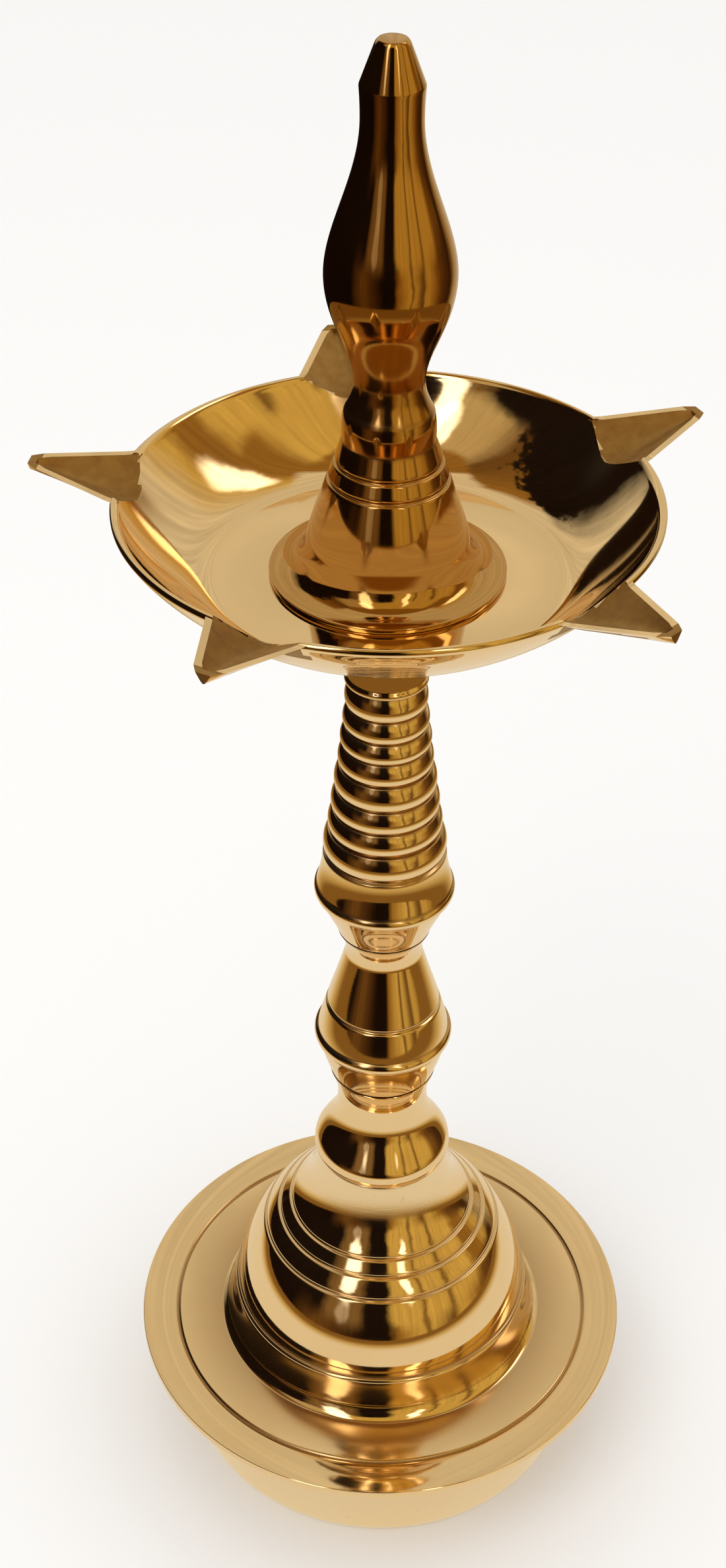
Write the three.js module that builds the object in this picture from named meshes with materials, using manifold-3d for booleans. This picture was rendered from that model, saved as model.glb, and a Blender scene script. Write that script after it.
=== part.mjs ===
// A brass standing oil lamp (samai): a hollow turned base, a stem of screwed modules, a shallow
// oil dish with five wick spouts and a turned finial that clamps the dish to the stem.
//
// Millimetres, +Z up. The lamp stands on the plane z = 0, and the origin is the centre of the
// space that it takes there. Five spouts can't balance about a middle, so the lamp's upright axis
// stands a little to one side of the origin. Every piece is drawn about that axis.

import * as THREE from 'three';
import { mergeVertices } from 'three/addons/utils/BufferGeometryUtils.js';
import Module from 'manifold-3d';

// ---------------------------------------------------------------- driving dimensions

// fits
const seatGap = 0.2; // between the faces of two pieces that are screwed together
const threadClearance = 0.08; // radial, between a stud and the bore it turns in
const spigotClearance = 0.15; // radial, between the base's spigot and the collar
const dishHoleClearance = 0.4; // radial, between the finial's stud and the dish

// base: foot ring, plate, cove and ledge, bell and spigot
const plateHeight = 22.5; // top face of the plate above the floor
const plateRadius = 43;
const plateEdge = 1.4;
const plateThickness = 2.2;
const plateLineRadius = 36.7;
const footTopRadius = 36.4;
const footBottomRadius = 34.6;
const footRounding = 2.4;
const footWall = 2.6;
const coveRadius = 28.8;
const ledgeRadius = 26.1;
const ledgeHeight = 8.2; // above the plate
const bellRadius = 25.4;
const bellFootHeight = 8.8; // above the plate
const shoulderHeight = 39.5; // above the plate
const shoulderRadius = 10.8;
const bellLines = [0.41, 0.53, 0.605]; // places of the three engraved lines along the bell
const bellWall = 2.4;
const spigotRadius = 6.6;
const spigotHeight = 6;

// stem modules
const collarHeight = 18.8;
const collarRimRadius = 11.5;
const collarWaistRadius = 7.4;
const lowerSeamRadius = 8.7; // radius of the joint between the collar and the knop
const knopHeight = 30.2;
const knopBottomFlare = 2.4;
const knopRingRadius = 11.35;
const knopRingHeight = 8.1;
const knopLine = 0.36; // place of the engraved line along the curve above the ring
const knopWaistRadius = 6.2;
const knopWaistHeight = 25.2;
const upperSeamRadius = 7.5; // radius of the joint between the knop and the column
const columnHeight = 63.5;
const columnRingRadius = 11.15;
const columnRingHeight = 8.6;
const bandRadius = 9.75;
const bandTop = 15.6; // height of the plain band's top in the column
const beadProud = 0.45;
const beads = [ // height in the column and radius of each bead, turned by hand and so not quite even
  [17.6, 9.7], [22.2, 8.95], [25.4, 8.45], [30.0, 7.95],
  [34.1, 7.35], [37.7, 7.0], [41.0, 6.6], [45.2, 6.3],
];
const columnNeckRadius = 6.0;
const dishSeatRadius = 10;
const dishSeatThickness = 1.6;

// washer and dish
const washerRadius = 9;
const washerThickness = 0.6;
const dishRimRadius = 39.2;
const dishDepth = 13.9; // underside of the floor to the top of the rim
const dishFloorRadius = 24.5; // underside
const dishWall = 1.7;
const rimWall = 1.1;
const spoutCount = 5;
const spoutBearing = 171.7; // degrees from +X of the first spout
const spoutReach = 52; // tip radius
const spoutRise = 1.3; // tip above the rim
const spoutStep = 0.25; // top of a spout's edge below the rim where it leaves the wall
const spoutHalfWidth = 7.2; // outside, at the rim
const spoutDepth = 4; // outside, at the rim
const spoutWall = 1.1;
const tipHalfWidth = 1.6;
const tipDepth = 1.7;

// finial
const flangeRadius = 17.1;
const flangeThickness = 0.8;
const skirtHeight = 21.7;
const skirtTopRadius = 6.6;
const flareHeight = 5.5; // the skirt flares out to the flange below this height
const flareRadius = 11.75;
const skirtLines = [0.622, 0.789]; // places of the two engraved lines along the skirt's curve
const ringTopHeight = 26;
const ringTopRadius = 6.3;
const neckHeight = 30.5;
const neckRadius = 4.95;
const bodyHeight = 46; // height of the widest part of the pear-shaped body
const bodyRadius = 9;
const throatHeight = 67.5;
const throatRadius = 4.17;
const tipEdgeHeight = 71.8;
const tipEdgeRadius = 4.35;
const finialHeight = 77.8;
const tipRadius = 2.3;

// studs
const stemStudRadius = 4;
const stemStudBite = 12; // length of the stud inside each of the two pieces it joins
const finialStudRadius = 3;
const finialStudBite = 12;
const studChamfer = 0.7;

// engraved lines
const lineDepth = 0.35;
const lineHalfWidth = 0.4;

// roundness
const baseSides = 48;
const dishSides = 60;
const stemSides = 28;
const studSides = 16;

// ---------------------------------------------------------------- levels along the axis

const shoulderZ = plateHeight + shoulderHeight;
const collarZ = shoulderZ + seatGap;
const knopZ = collarZ + collarHeight + seatGap;
const columnZ = knopZ + knopHeight + seatGap;
const washerZ = columnZ + columnHeight + seatGap;
const dishZ = washerZ + washerThickness + seatGap;
const finialZ = dishZ + dishWall + seatGap;

// ---------------------------------------------------------------- outline helpers

const at = (radius, height) => new THREE.Vector2(radius, height);

// Points of a cubic curve from a to d.
function bend(a, b, c, d, steps) {
  return new THREE.CubicBezierCurve(a, b, c, d).getPoints(steps);
}

// A quarter ellipse from one point to another, leaving the first point along the radius
// ('out') or along the axis ('up').
function quarter(from, to, leaving, steps) {
  const points = [];
  for (let i = 0; i <= steps; i += 1) {
    const angle = (i / steps) * Math.PI / 2;
    const fast = Math.sin(angle);
    const slow = 1 - Math.cos(angle);
    const u = leaving === 'out' ? fast : slow;
    const v = leaving === 'out' ? slow : fast;
    points.push(at(from.x + (to.x - from.x) * u, from.y + (to.y - from.y) * v));
  }
  return points;
}

// The same curve as bend, with a V-shaped line engraved at each place in lines (0 to 1).
function engravedBend(a, b, c, d, steps, lines) {
  const curve = new THREE.CubicBezierCurve(a, b, c, d);
  const length = curve.getLength();
  const half = lineHalfWidth / length;
  const plain = [];
  for (let i = 0; i <= steps; i += 1) {
    const u = i / steps;
    if (lines.every((line) => Math.abs(line - u) > 1.5 * half)) plain.push([u, 0]);
  }
  const cuts = lines.flatMap((line) => [[line - half, 0], [line, lineDepth], [line + half, 0]]);
  return [...plain, ...cuts]
    .sort((one, other) => one[0] - other[0])
    .map(([u, depth]) => {
      const point = curve.getPointAt(u);
      const along = curve.getTangentAt(u);
      const inward = at(along.y, -along.x);
      if (inward.x > 0) inward.negate();
      return point.addScaledVector(inward, depth);
    });
}

// A round bead or ring on a turned piece: three points across its crown.
function ring(radius, height, half, proud) {
  return [
    at(radius - proud, height - half),
    at(radius - 0.2 * proud, height - 0.55 * half),
    at(radius, height),
    at(radius - 0.3 * proud, height + 0.6 * half),
    at(radius - proud, height + half),
  ];
}

// ---------------------------------------------------------------- solids

// A turned piece: the outline (radius, height) is spun about Z. It runs anticlockwise, from its
// lowest inner point outwards and up, and it starts and ends on the axis or closes on itself.
function turned(outline, sides) {
  const geometry = new THREE.LatheGeometry(outline, sides);
  geometry.rotateX(Math.PI / 2);
  return geometry;
}

// A turned piece with a hole through it: the outline is closed on its first point.
function turnedRing(outline, sides) {
  return turned([...outline, outline[0].clone()], sides);
}

const wasm = await Module();
wasm.setup();

// A closed three.js geometry as a solid that can be joined and cut.
function solid(geometry) {
  const bare = new THREE.BufferGeometry();
  const flat = geometry.index ? geometry.toNonIndexed() : geometry;
  bare.setAttribute('position', flat.getAttribute('position'));
  const merged = mergeVertices(bare, 1e-4);
  return new wasm.Manifold(new wasm.Mesh({
    numProp: 3,
    vertProperties: merged.getAttribute('position').array,
    triVerts: new Uint32Array(merged.index.array),
  }));
}

function geometryOf(shape) {
  const mesh = shape.getMesh();
  const geometry = new THREE.BufferGeometry();
  geometry.setAttribute('position', new THREE.BufferAttribute(mesh.vertProperties, 3));
  geometry.setIndex(new THREE.BufferAttribute(mesh.triVerts, 1));
  const faceted = geometry.toNonIndexed();
  faceted.computeVertexNormals();
  return faceted;
}

// A closed solid through a row of sections, each a list of the same number of THREE.Vector3.
// A section runs anticlockwise when it is seen from the next one.
function loft(sections) {
  const count = sections[0].length;
  const positions = sections.flat().flatMap((p) => [p.x, p.y, p.z]);
  const faces = [];
  for (let s = 0; s < sections.length - 1; s += 1) {
    for (let i = 0; i < count; i += 1) {
      const a = s * count + i;
      const b = s * count + (i + 1) % count;
      faces.push(a, b, a + count, b, b + count, a + count);
    }
  }
  const last = (sections.length - 1) * count;
  for (let i = 1; i < count - 1; i += 1) {
    faces.push(0, i + 1, i);
    faces.push(last, last + i, last + i + 1);
  }
  const geometry = new THREE.BufferGeometry();
  geometry.setAttribute('position', new THREE.Float32BufferAttribute(positions, 3));
  geometry.setIndex(faces);
  return geometry;
}

// ---------------------------------------------------------------- base and stem

function baseGeometry() {
  const plate = plateHeight;
  const bellFoot = plate + bellFootHeight;
  const bellSpan = shoulderZ - bellFoot;
  const bellSpread = bellRadius - shoulderRadius;
  const spigotTop = shoulderZ + spigotHeight;
  const bore = stemStudRadius + threadClearance;
  const bossBottom = spigotTop - stemStudBite - 2;
  const footInner = footBottomRadius - footRounding - footWall;
  const hollowTop = plate - plateThickness;
  const foot = [
    at(footInner, 0),
    ...quarter(at(footBottomRadius - footRounding, 0), at(footBottomRadius, footRounding), 'out', 3),
    at(footTopRadius, plate - plateEdge),
  ];
  const plateTop = [
    at(plateRadius - 0.3, plate - plateEdge),
    at(plateRadius, plate - plateEdge + 0.3),
    at(plateRadius, plate - 0.3),
    at(plateRadius - 0.3, plate),
    at(plateLineRadius + lineHalfWidth, plate),
    at(plateLineRadius, plate - lineDepth),
    at(plateLineRadius - lineHalfWidth, plate),
  ];
  const ledge = plate + ledgeHeight;
  const cove = [
    at(coveRadius, plate),
    at(coveRadius - 1.2, plate + 1.2),
    at(ledgeRadius + 0.4, plate + 3.6),
    at(ledgeRadius, ledge - 0.8),
    at(ledgeRadius, ledge),
  ];
  const bell = engravedBend(
    at(bellRadius, bellFoot),
    at(bellRadius + 0.03 * bellSpread, bellFoot + 0.316 * bellSpan),
    at(shoulderRadius + 0.24 * bellSpread, bellFoot + 0.518 * bellSpan),
    at(shoulderRadius, shoulderZ),
    9,
    bellLines,
  );
  const inner = bend(
    at(shoulderRadius - bellWall, bossBottom),
    at(shoulderRadius + 0.5 * bellSpread - bellWall, bellFoot + 0.55 * bellSpan),
    at(bellRadius - bellWall, bellFoot + 0.12 * bellSpan),
    at(bellRadius - bellWall, bellFoot - 2),
    4,
  );
  return turnedRing([
    ...foot,
    ...plateTop,
    ...cove,
    ...bell,
    at(spigotRadius, shoulderZ),
    at(spigotRadius, spigotTop - 0.5),
    at(spigotRadius - 0.5, spigotTop),
    at(bore, spigotTop),
    at(bore, bossBottom),
    ...inner,
    at(coveRadius - bellWall, hollowTop),
    at(footTopRadius - footWall, hollowTop),
    at(footTopRadius - footWall, hollowTop - 1),
    at(footBottomRadius - footWall, footRounding + 2),
  ], baseSides);
}

function collarGeometry() {
  const pocket = spigotRadius + spigotClearance;
  const pocketTop = spigotHeight + seatGap;
  const bore = stemStudRadius + threadClearance;
  const rim = 1.6;
  return turnedRing([
    at(pocket, 0),
    at(shoulderRadius, 0),
    at(collarRimRadius - 0.3, 0.5),
    at(collarRimRadius, rim),
    ...bend(
      at(collarRimRadius - 0.35, rim + 1.3),
      at(collarRimRadius - 2.2, rim + 4.8),
      at(collarWaistRadius, rim + 6.2),
      at(collarWaistRadius, 12.8),
      5,
    ),
    at(collarWaistRadius + 0.3, 15.6),
    at(lowerSeamRadius, collarHeight),
    at(bore, collarHeight),
    at(bore, pocketTop),
    at(pocket, pocketTop),
  ], stemSides);
}

function knopGeometry() {
  const bore = stemStudRadius + threadClearance;
  const socket = stemStudBite + seatGap;
  const upper = engravedBend(
    at(knopRingRadius - 0.55, knopRingHeight + 1.1),
    at(knopRingRadius - 1.2, knopRingHeight + 4),
    at(knopWaistRadius + 1.6, knopWaistHeight - 6),
    at(knopWaistRadius, knopWaistHeight),
    6,
    [knopLine],
  );
  return turned([
    at(0, socket),
    at(bore, socket),
    at(bore, 0),
    at(lowerSeamRadius, 0),
    at(lowerSeamRadius + 0.7, knopBottomFlare),
    ...ring(knopRingRadius, knopRingHeight, 1, 0.45),
    ...upper,
    at(upperSeamRadius - 0.7, knopHeight - 2.2),
    at(upperSeamRadius, knopHeight),
    at(bore, knopHeight),
    at(bore, knopHeight - socket),
    at(0, knopHeight - socket),
  ], stemSides);
}

// One bead of the column: a shallow slope above and a steep round face below.
function beadOutline([height, radius], pitch) {
  return [
    at(radius - beadProud, height - 0.32 * pitch),
    at(radius, height - 0.1 * pitch),
    at(radius - 0.1, height + 0.16 * pitch),
  ];
}

function columnGeometry() {
  const bore = stemStudRadius + threadClearance;
  const socket = stemStudBite + seatGap;
  const finialBore = finialStudRadius + threadClearance;
  const finialSocket = finialStudBite + seatGap;
  const lastBead = beads[beads.length - 1];
  const pitch = (lastBead[0] - beads[0][0]) / (beads.length - 1);
  const seat = columnHeight - dishSeatThickness;
  return turned([
    at(0, socket),
    at(bore, socket),
    at(bore, 0),
    at(upperSeamRadius, 0),
    at(upperSeamRadius + 1.5, 3.1),
    at(columnRingRadius - 0.6, columnRingHeight - 1.3),
    at(columnRingRadius, columnRingHeight - 0.4),
    at(columnRingRadius - 0.1, columnRingHeight + 0.6),
    at(columnRingRadius - 0.5, columnRingHeight + 1),
    at(bandRadius + 0.25, bandTop - 3.2),
    at(bandRadius, bandTop - 0.6),
    ...beads.flatMap((bead) => beadOutline(bead, pitch)),
    at(columnNeckRadius, lastBead[0] + 0.6 * pitch),
    ...quarter(at(columnNeckRadius, seat - 4), at(dishSeatRadius, seat), 'up', 4),
    at(dishSeatRadius, columnHeight),
    at(finialBore, columnHeight),
    at(finialBore, columnHeight - finialSocket),
    at(0, columnHeight - finialSocket),
  ], stemSides);
}

// ---------------------------------------------------------------- studs and washer

function studGeometry(radius, length) {
  return turned([
    at(0, 0),
    at(radius - studChamfer, 0),
    at(radius, studChamfer),
    at(radius, length - studChamfer),
    at(radius - studChamfer, length),
    at(0, length),
  ], studSides);
}

function washerGeometry() {
  const hole = finialStudRadius + dishHoleClearance;
  return turnedRing([
    at(hole, 0),
    at(washerRadius, 0),
    at(washerRadius, washerThickness),
    at(hole, washerThickness),
  ], stemSides);
}

// ---------------------------------------------------------------- dish with wick spouts

function spoutBearings() {
  return Array.from({ length: spoutCount }, (_, i) => spoutBearing + i * 360 / spoutCount);
}

// A V-shaped section across a spout, at one distance from the axis, closed along its top.
function spoutSection(distance, halfWidth, depth, top) {
  const points = [];
  for (const across of [-1, -0.55, -0.2, 0.2, 0.55, 1]) {
    const drop = depth * (1 - Math.abs(across) ** 1.25);
    points.push(new THREE.Vector3(distance, halfWidth * across, top - drop));
  }
  return points;
}

// The spout's outside, or the trough inside it, from the dish's wall to the tip. inset is the
// wall that is taken off all round, and rise lifts the closed top clear of the rim.
function spoutSolid(inset, rise) {
  const rootDistance = dishRimRadius - 6;
  const slope = (distance) => (distance - dishRimRadius) / (spoutReach - dishRimRadius);
  const section = (distance) => {
    const s = slope(distance);
    const halfWidth = spoutHalfWidth + (tipHalfWidth - spoutHalfWidth) * s - inset;
    const depth = spoutDepth + (tipDepth - spoutDepth) * s - inset;
    const top = dishDepth - spoutStep + (spoutRise + spoutStep) * Math.max(0, s);
    const row = spoutSection(distance, halfWidth, depth, top);
    if (rise === 0) return row;
    return [
      ...row,
      new THREE.Vector3(distance, halfWidth, top + rise),
      new THREE.Vector3(distance, -halfWidth, top + rise),
    ];
  };
  const end = spoutReach - inset;
  return solid(loft([section(rootDistance), section(dishRimRadius), section(end)]));
}

function dishGeometry() {
  const rimInner = dishRimRadius - rimWall;
  const outside = [
    at(0, 0),
    at(dishFloorRadius, 0),
    ...bend(
      at(dishFloorRadius, 0),
      at(dishFloorRadius + 5, 2.6),
      at(dishRimRadius - 3, 0.58 * dishDepth),
      at(dishRimRadius, dishDepth - 0.8),
      6,
    ).slice(1),
    at(dishRimRadius, dishDepth - 0.3),
    at(dishRimRadius - 0.3, dishDepth),
    at(0, dishDepth),
  ];
  const inside = [
    at(0, dishWall),
    at(dishFloorRadius - 5, dishWall),
    ...bend(
      at(dishFloorRadius - 2, dishWall + 0.15),
      at(dishFloorRadius + 4.1, dishWall + 2),
      at(rimInner - 3.1, 0.64 * dishDepth),
      at(rimInner, dishDepth),
      6,
    ),
    at(rimInner, dishDepth + 5),
    at(0, dishDepth + 5),
  ];
  const hole = new THREE.CylinderGeometry(
    finialStudRadius + dishHoleClearance,
    finialStudRadius + dishHoleClearance,
    4 * dishWall,
    stemSides,
  );
  hole.rotateX(Math.PI / 2);
  let shape = solid(turned(outside, dishSides));
  const spout = spoutSolid(0, 0);
  const trough = spoutSolid(spoutWall, 4);
  const bearings = spoutBearings();
  for (const bearing of bearings) shape = shape.add(spout.rotate([0, 0, bearing]));
  shape = shape.subtract(solid(turned(inside, dishSides)));
  for (const bearing of bearings) shape = shape.subtract(trough.rotate([0, 0, bearing]));
  return geometryOf(shape.subtract(solid(hole)));
}

// ---------------------------------------------------------------- finial

function finialGeometry() {
  const bore = finialStudRadius + threadClearance;
  const socket = finialStudBite + seatGap;
  const flare = bend(
    at(flangeRadius, flangeThickness),
    at(flangeRadius - 2.9, flangeThickness + 0.1),
    at(flareRadius + 0.65, 0.4 * flareHeight),
    at(flareRadius, flareHeight),
    5,
  );
  const skirtSpan = skirtHeight - flareHeight;
  const skirt = engravedBend(
    at(flareRadius, flareHeight),
    at(flareRadius - 0.55, flareHeight + 0.19 * skirtSpan),
    at(skirtTopRadius + 2, skirtHeight - 0.38 * skirtSpan),
    at(skirtTopRadius, skirtHeight),
    6,
    skirtLines,
  );
  const body = [
    ...bend(
      at(neckRadius, neckHeight),
      at(neckRadius, neckHeight + 4.5),
      at(bodyRadius, bodyHeight - 6.5),
      at(bodyRadius, bodyHeight),
      6,
    ),
    ...bend(
      at(bodyRadius, bodyHeight),
      at(bodyRadius, bodyHeight + 6.5),
      at(throatRadius, throatHeight - 8),
      at(throatRadius, throatHeight),
      8,
    ).slice(1),
  ];
  return turned([
    at(0, socket),
    at(bore, socket),
    at(bore, 0),
    at(flangeRadius - 0.3, 0),
    at(flangeRadius, 0.3),
    ...flare,
    ...skirt.slice(1),
    at(skirtTopRadius, skirtHeight + 1.4),
    at(ringTopRadius, ringTopHeight),
    at(ringTopRadius - 0.75, ringTopHeight + 1.7),
    ...body,
    at(tipEdgeRadius, tipEdgeHeight),
    at(tipRadius, finialHeight - 0.5),
    at(tipRadius - 0.5, finialHeight),
    at(0, finialHeight),
  ], stemSides);
}

// ---------------------------------------------------------------- assembly

const polishedBrass = { color: 0xc9983f, metalness: 1, roughness: 0.16 };
const darkBrass = { color: 0xb07a2c, metalness: 1, roughness: 0.2 };
const cutBrass = { color: 0xb8934a, metalness: 1, roughness: 0.4 };
const fibre = { color: 0x6b3a26, metalness: 0, roughness: 0.85 };

// The middle of the space that the plate and the spouts' tips take up along one level axis.
// quarterTurns is 0 for X and 1 for Y.
function middle(quarterTurns) {
  const reaches = spoutBearings().map((bearing) => {
    const away = (bearing - 90 * quarterTurns) * Math.PI / 180;
    const corner = Math.atan2(tipHalfWidth, spoutReach);
    const far = Math.hypot(spoutReach, tipHalfWidth);
    return [far * Math.cos(away - corner), far * Math.cos(away + corner)];
  }).flat();
  return (Math.max(plateRadius, ...reaches) + Math.min(-plateRadius, ...reaches)) / 2;
}

const lamp = new THREE.Group();
lamp.position.set(-middle(0), -middle(1), 0);

function place(name, geometry, height, finish) {
  const mesh = new THREE.Mesh(geometry, new THREE.MeshStandardMaterial(finish));
  mesh.name = name;
  mesh.position.z = height;
  lamp.add(mesh);
}

// A stud from its bite below the lower thread's mouth to its bite above the upper thread's.
function placeStud(name, radius, bite, lowerMouth, upperMouth) {
  const length = 2 * bite + upperMouth - lowerMouth;
  place(name, studGeometry(radius, length), lowerMouth - bite, cutBrass);
}

place('base', baseGeometry(), 0, polishedBrass);
place('collar', collarGeometry(), collarZ, polishedBrass);
placeStud('base_stud', stemStudRadius, stemStudBite, shoulderZ + spigotHeight, knopZ);
place('knop', knopGeometry(), knopZ, polishedBrass);
placeStud('column_stud', stemStudRadius, stemStudBite, knopZ + knopHeight, columnZ);
place('column', columnGeometry(), columnZ, polishedBrass);
place('dish_washer', washerGeometry(), washerZ, fibre);
place('dish', dishGeometry(), dishZ, polishedBrass);
placeStud('finial_stud', finialStudRadius, finialStudBite, columnZ + columnHeight, finialZ);
place('finial', finialGeometry(), finialZ, darkBrass);

export default lamp;
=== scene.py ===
"""Looks of a brass standing oil lamp (samai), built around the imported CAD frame.

Every outline is written in millimetres from the bottom of its own piece, as a lathe hand would
chalk it. The turned pieces are then scaled to their boxes in the frame, and the dish is drawn at
full size from the bottom of its box.
"""

import math

import bmesh
import bpy
from mathutils import Matrix, Vector

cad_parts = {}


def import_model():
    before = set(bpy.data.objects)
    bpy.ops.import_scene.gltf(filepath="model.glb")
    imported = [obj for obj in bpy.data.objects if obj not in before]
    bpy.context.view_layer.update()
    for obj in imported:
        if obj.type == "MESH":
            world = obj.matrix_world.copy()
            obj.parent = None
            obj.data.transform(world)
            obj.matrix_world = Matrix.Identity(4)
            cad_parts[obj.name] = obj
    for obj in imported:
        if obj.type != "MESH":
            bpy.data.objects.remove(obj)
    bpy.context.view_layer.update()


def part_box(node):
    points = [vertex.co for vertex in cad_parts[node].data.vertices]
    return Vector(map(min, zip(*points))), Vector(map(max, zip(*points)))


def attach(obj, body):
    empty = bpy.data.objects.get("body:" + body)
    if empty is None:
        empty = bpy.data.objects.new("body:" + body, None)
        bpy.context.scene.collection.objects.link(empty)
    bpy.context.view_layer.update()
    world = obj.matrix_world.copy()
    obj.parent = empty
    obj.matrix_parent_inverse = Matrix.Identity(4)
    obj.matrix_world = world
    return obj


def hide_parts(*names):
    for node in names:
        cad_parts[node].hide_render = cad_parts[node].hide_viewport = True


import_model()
scene = bpy.context.scene

# the lamp's upright axis, about which everything but the dish's spouts is turned
column_low, column_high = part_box("column")
AXIS = Vector(((column_low.x + column_high.x) / 2, (column_low.y + column_high.y) / 2, 0))

MM = 0.001
TAU = 2 * math.pi

# ------------------------------------------------------------------ view

CAMERA_BACK = 0.2982  # in front of the lamp's axis
CAMERA_ABOVE_PLATE = 0.3408
CAMERA_PITCH = math.radians(36.907)  # looking down
CAMERA_YAW = math.radians(-0.662)
CAMERA_ROLL = math.radians(0.189)
LENS_MM = 55.78
SENSOR_MM = 36.0

# ------------------------------------------------------------------ shape

TURNED_SIDES = 160
THREAD_SIDES = 48
FILLET_MM = 0.22
BLUNT_ANGLE = math.radians(14)  # a corner that turns by less than this isn't rounded
SHARP_ANGLE = math.radians(32)
LINE_DEPTH = 0.35
LINE_HALF = 0.42
# an engraved line's section: offset along the outline, share of the depth
LINE_SECTION = ((-LINE_HALF, 0), (-0.12, 0.85), (0, 1), (0.12, 0.85), (LINE_HALF, 0))
PLATE_LINE_RADIUS = 36.7
PLATE_HEIGHT = 22.5
STEM_BORE = 4.08
FINIAL_BORE = 3.08
STEM_PITCH = 1.25
FINIAL_PITCH = 1.0
THREAD_DEPTH = 0.62  # a share of the pitch
THREAD_CHAMFER = 0.9
ROWS_PER_TURN = 8

# ------------------------------------------------------------------ colours (linear)

BRASS = (0.90, 0.70, 0.42)
WARMTH = (0.955, 0.87, 0.74)  # multiplies a brass where it is warmer
FINIAL_BRASS = (0.58, 0.35, 0.125)
SATIN_BRASS = (0.93, 0.80, 0.58)
CAST_BRASS = (0.44, 0.27, 0.085)
# real tarnish specks, and also the colour of the painted shade in creases, lines and joints
TARNISH_AND_SHADE = (0.30, 0.15, 0.045)
CUT_BRASS = (0.74, 0.52, 0.25)
FIBRE = (0.20, 0.095, 0.05)
FIBRE_STRANDS = (0.32, 0.17, 0.09)
FLOOR_COLOUR = (0.93, 0.925, 0.915)
KEY_COLOUR = (1, 0.96, 0.9)
WINDOW_COLOUR = (1, 0.95, 0.86)

# ------------------------------------------------------------------ the room in the reflections

# bearings in degrees from the camera's side, positive to the right
BLACK = (0.010, 0.005, 0.003)
DARK = (0.050, 0.020, 0.006)
BROWN = (0.15, 0.068, 0.016)
RUST = (0.22, 0.125, 0.042)
AMBER = (0.31, 0.150, 0.025)
GOLD = (0.65, 0.430, 0.105)
TAN = (0.55, 0.400, 0.190)
CREAM = (0.72, 0.620, 0.450)
# colours of the glowing disc that paints the floor's reflection, from near the lamp to far
NEAR_FLOOR = (0.82, 0.730, 0.580)
MIDDLE_FLOOR = (0.62, 0.440, 0.160)
FAR_FLOOR = (0.24, 0.120, 0.025)
# under the horizon
LOW_BANDS = (
    (-180, BLACK), (-150, BLACK), (-70, BLACK), (-48, BROWN), (-24, DARK), (-12, BLACK), (6, BLACK),
    (12, AMBER), (34, GOLD), (37, BROWN), (41, GOLD), (58, BROWN), (63, GOLD), (84, AMBER),
    (92, BROWN), (118, DARK), (134, TAN), (155, CREAM), (180, CREAM),
)
# from the horizon to about 40 degrees
MIDDLE_BANDS = (
    (-180, CREAM), (-142, CREAM), (-128, BLACK), (-92, BLACK), (-62, BLACK), (-49, BLACK),
    (-42, RUST), (-18, RUST), (-12, BLACK), (7, BLACK), (12, GOLD), (33, GOLD), (36, BROWN),
    (39, GOLD), (56, GOLD), (60, BROWN), (64, GOLD), (86, GOLD), (93, AMBER), (104, AMBER),
    (112, GOLD), (130, CREAM), (180, CREAM),
)
# above about 40 degrees
HIGH_BANDS = (
    (-180, CREAM), (-134, CREAM), (-122, AMBER), (-78, BROWN), (-62, TAN), (-36, TAN), (-24, GOLD),
    (68, GOLD), (80, AMBER), (98, AMBER), (112, GOLD), (132, CREAM), (180, CREAM),
)
# bright places: bearing, rise, half width, half height, strength
WINDOWS = (
    (-29, 40, 9, 30, 2.2), (25, 38, 5, 26, 2.0), (-35, 58, 9, 13, 2.0), (107, 45, 9, 17, 2.0),
    (-30, 9, 7, 10, 0.25),
)
# a dark place: bearing, rise, half width, half height, strength
SHADE = (-104, 38, 36, 17, 1.0)

# ------------------------------------------------------------------ outlines

def bezier(a, b, c, d, steps, skip_first=False):
    """Points of a cubic curve from a to d."""
    points = []
    for i in range(1 if skip_first else 0, steps + 1):
        t = i / steps
        weights = ((1 - t) ** 3, 3 * t * (1 - t) ** 2, 3 * t * t * (1 - t), t ** 3)
        points.append(tuple(sum(w * p[k] for w, p in zip(weights, (a, b, c, d))) for k in (0, 1)))
    return points


def engraved(points, heights):
    """A dense rising outline with a V-shaped line engraved at each height."""
    lengths = [0.0]
    for p, q in zip(points, points[1:]):
        lengths.append(lengths[-1] + math.dist(p, q))

    def along(s):
        for i in range(len(points) - 1):
            if s <= lengths[i + 1] or i == len(points) - 2:
                p, q = points[i], points[i + 1]
                step = lengths[i + 1] - lengths[i]
                t = (s - lengths[i]) / step
                inward = ((p[1] - q[1]) / step, (q[0] - p[0]) / step)
                return (p[0] + (q[0] - p[0]) * t, p[1] + (q[1] - p[1]) * t), inward
        return points[-1], (0, 0)

    def length_at(height):
        i = next(k for k in range(len(points) - 1) if points[k + 1][1] >= height)
        share = (height - points[i][1]) / (points[i + 1][1] - points[i][1])
        return lengths[i] + share * (lengths[i + 1] - lengths[i])

    marks = [length_at(height) for height in heights]
    rows = [(s, p) for s, p in zip(lengths, points)
            if all(abs(s - mark) > 1.6 * LINE_HALF for mark in marks)]
    for mark in marks:
        for offset, depth in LINE_SECTION:
            (r, z), (nr, nz) = along(mark + offset)
            rows.append((mark + offset, (r + nr * depth * LINE_DEPTH, z + nz * depth * LINE_DEPTH)))
    return [p for _, p in sorted(rows)]


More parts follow.
